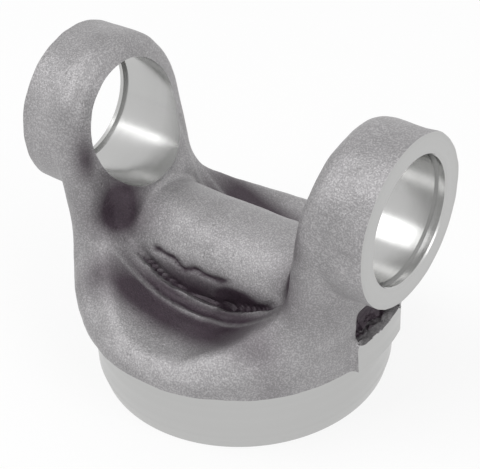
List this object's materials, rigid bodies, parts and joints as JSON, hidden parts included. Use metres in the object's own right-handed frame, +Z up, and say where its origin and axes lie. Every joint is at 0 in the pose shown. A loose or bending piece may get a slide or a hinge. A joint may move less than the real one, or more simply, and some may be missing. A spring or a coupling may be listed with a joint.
{
  "type": "tube yoke",
  "caption": "Forged steel weld yoke: two bored ears with snap-ring grooves, a bridged saddle and a turned spigot that presses into a drive tube.",
  "frame": {"origin": "centre of the spigot's end face, on the spigot's axis", "axes": "+Z up along the spigot towards the ears, X along the bearing-bore axis, Y across the saddle from front to back"},
  "size_m": [0.1094, 0.0906, 0.0903],
  "materials": {
    "forged_steel": "shot-blasted forging skin, mid grey with darker hollows; machined bores, faces and spigot are bright"
  },
  "bodies": {
    "root": {"tube_yoke": "forged_steel"}
  },
  "joints": []
}
